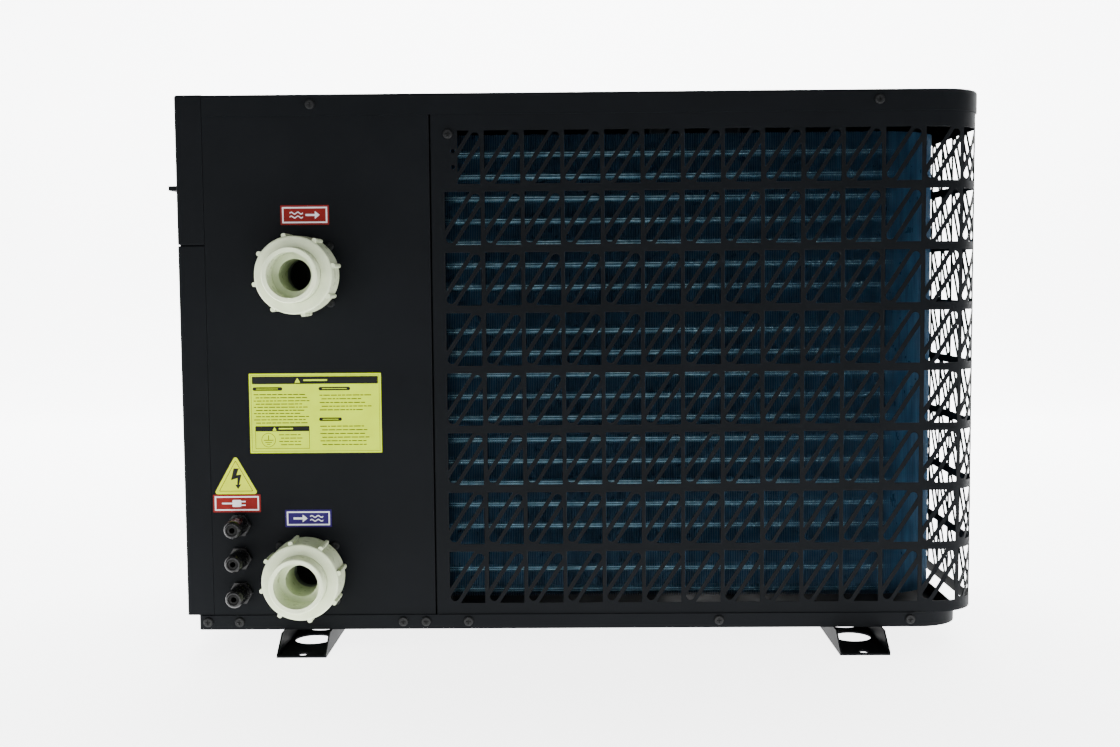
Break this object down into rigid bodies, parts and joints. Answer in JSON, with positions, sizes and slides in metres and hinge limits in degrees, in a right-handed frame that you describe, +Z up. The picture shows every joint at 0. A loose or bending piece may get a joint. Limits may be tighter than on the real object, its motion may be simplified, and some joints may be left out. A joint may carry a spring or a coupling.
{
  "type": "pool heat pump unit",
  "caption": "Side-discharge pool heat pump with a latticed coil guard, two water unions, cable glands, channel feet, axial fan, compressor and water heat exchanger.",
  "frame": {"origin": "on the floor, at the centre of the four anchor holes in the feet", "axes": "+Z up; +X along the length, from the union end to the rounded coil end; +Y towards the front, where the fan blows out; the unions face -Y"},
  "size_m": [0.9215, 0.472, 0.6323],
  "materials": {
    "casing_paint": "fine-textured powder coat, satin",
    "black_steel": "black enamel, semi-gloss",
    "zinc": "zinc plated",
    "galvanised": "galvanised sheet",
    "steel": "ground shaft",
    "button": "moulded, fine texture",
    "screw_black": "black coated",
    "rubber": "matte",
    "control_plastic": "moulded, fine texture",
    "board": "solder mask",
    "smoked_cover": "smoked, glossy",
    "display_lens": "glossy lens",
    "gland_plastic": "nylon, semi-gloss",
    "blue_fin": "blue hydrophilic coating",
    "pvc_grey": "extruded PVC",
    "brass": "turned",
    "fan_plastic": "moulded",
    "grille_plastic": "moulded",
    "motor_cast": "coated casting",
    "union_pvc": "moulded ivory PVC",
    "label_film": "printed film",
    "copper": "drawn copper tube",
    "titanium": "drawn titanium tube"
  },
  "bodies": {
    "casing": {"accumulator": "black_steel", "base_bolts": "zinc", "base_pan": "casing_paint", "casing_screws": "screw_black", "coil_end_plates": "galvanised", "coil_guard": "casing_paint", "compressor": "black_steel", "compressor_grommets": "rubber", "control_bezel": "control_plastic", "control_board": "board", "control_lens": "display_lens", "drain_spigot": "gland_plastic", "electrical_box": "galvanised", "end_cover_screws": "screw_black", "evaporator_fins": "blue_fin", "exchanger_caps": "pvc_grey", "exchanger_shell": "pvc_grey", "expansion_valve": "brass", "fan_grille": "grille_plastic", "fan_motor": "motor_cast", "flow_switch": "gland_plastic", "foot_left": "casing_paint", "foot_right": "casing_paint", "four_way_valve": "brass", "front_panel": "casing_paint", "front_service_panel": "casing_paint", "gland_bodies": "gland_plastic", "gland_locknuts": "gland_plastic", "grip_handle": "casing_paint", "inlet_union_body": "union_pvc", "motor_bracket": "galvanised", "outlet_union_body": "union_pvc", "partition": "galvanised", "rear_labels": "label_film", "rear_service_panel": "casing_paint", "refrigerant_pipes": "copper", "return_bends": "copper", "side_cover_lower": "casing_paint", "side_cover_upper": "casing_paint", "titanium_coil": "titanium", "top_cover": "casing_paint", "union_o_rings": "rubber", "union_screws": "screw_black"},
    "fan": {"fan_blades": "fan_plastic", "fan_nut": "zinc", "motor_shaft": "steel"},
    "outlet_tail": {"outlet_tail_piece": "union_pvc"},
    "outlet_nut": {"outlet_union_nut": "union_pvc"},
    "inlet_tail": {"inlet_tail_piece": "union_pvc"},
    "inlet_nut": {"inlet_union_nut": "union_pvc"},
    "seal_1": {"gland_seal_1": "rubber"},
    "seal_2": {"gland_seal_2": "rubber"},
    "seal_3": {"gland_seal_3": "rubber"},
    "dome_1": {"gland_nut_1": "gland_plastic"},
    "dome_2": {"gland_nut_2": "gland_plastic"},
    "dome_3": {"gland_nut_3": "gland_plastic"},
    "flip_cover": {"control_cover": "smoked_cover"},
    "power_button": {"button_1": "button"},
    "up_button": {"button_2": "button"},
    "down_button": {"button_3": "button"}
  },
  "joints": [
    {"name": "fan_spin", "type": "hinge", "parent": "casing", "child": "fan", "pos_m": [0.145, 0.132, 0.325], "axis": [0, 1, 0], "continuous": true},
    {"name": "outlet_tail_pull", "type": "slide", "parent": "casing", "child": "outlet_tail", "axis": [0, -1, 0], "range_m": [0, 0.012]},
    {"name": "outlet_nut_turn", "type": "hinge", "parent": "outlet_tail", "child": "outlet_nut", "pos_m": [-0.3145, -0.21, 0.4284], "axis": [0, 1, 0], "range_deg": [0, 1081]},
    {"name": "inlet_tail_pull", "type": "slide", "parent": "casing", "child": "inlet_tail", "axis": [0, -1, 0], "range_m": [0, 0.012]},
    {"name": "inlet_nut_turn", "type": "hinge", "parent": "inlet_tail", "child": "inlet_nut", "pos_m": [-0.3145, -0.21, 0.0867], "axis": [0, 1, 0], "range_deg": [0, 1081]},
    {"name": "seal_1_back", "type": "slide", "parent": "casing", "child": "seal_1", "axis": [0, -1, 0], "range_m": [0, 0.0045]},
    {"name": "dome_1_turn", "type": "hinge", "parent": "seal_1", "child": "dome_1", "pos_m": [-0.3917, -0.2, 0.1435], "axis": [0, 1, 0], "range_deg": [0, 1081]},
    {"name": "seal_2_back", "type": "slide", "parent": "casing", "child": "seal_2", "axis": [0, -1, 0], "range_m": [0, 0.0045]},
    {"name": "dome_2_turn", "type": "hinge", "parent": "seal_2", "child": "dome_2", "pos_m": [-0.3917, -0.2, 0.105], "axis": [0, 1, 0], "range_deg": [0, 1081]},
    {"name": "seal_3_back", "type": "slide", "parent": "casing", "child": "seal_3", "axis": [0, -1, 0], "range_m": [0, 0.0045]},
    {"name": "dome_3_turn", "type": "hinge", "parent": "seal_3", "child": "dome_3", "pos_m": [-0.3917, -0.2, 0.065], "axis": [0, 1, 0], "range_deg": [0, 1081]},
    {"name": "cover_flip", "type": "hinge", "parent": "casing", "child": "flip_cover", "pos_m": [-0.297, 0.1945, 0.471], "axis": [1, 0, 0], "range_deg": [0, 150]},
    {"name": "power_press", "type": "slide", "parent": "casing", "child": "power_button", "axis": [0, -1, 0], "range_m": [0, 0.0012], "stiffness_N_per_m": 600, "springref_m": -0.001},
    {"name": "up_press", "type": "slide", "parent": "casing", "child": "up_button", "axis": [0, -1, 0], "range_m": [0, 0.0012], "stiffness_N_per_m": 600, "springref_m": -0.001},
    {"name": "down_press", "type": "slide", "parent": "casing", "child": "down_button", "axis": [0, -1, 0], "range_m": [0, 0.0012], "stiffness_N_per_m": 600, "springref_m": -0.001}
  ],
  "couplings": [
    {"joint": "outlet_nut_turn", "follows": "outlet_tail_pull", "rad_per_m": 1570.8},
    {"joint": "inlet_nut_turn", "follows": "inlet_tail_pull", "rad_per_m": 1570.8},
    {"joint": "dome_1_turn", "follows": "seal_1_back", "rad_per_m": 4188.8},
    {"joint": "dome_2_turn", "follows": "seal_2_back", "rad_per_m": 4188.8},
    {"joint": "dome_3_turn", "follows": "seal_3_back", "rad_per_m": 4188.8}
  ]
}
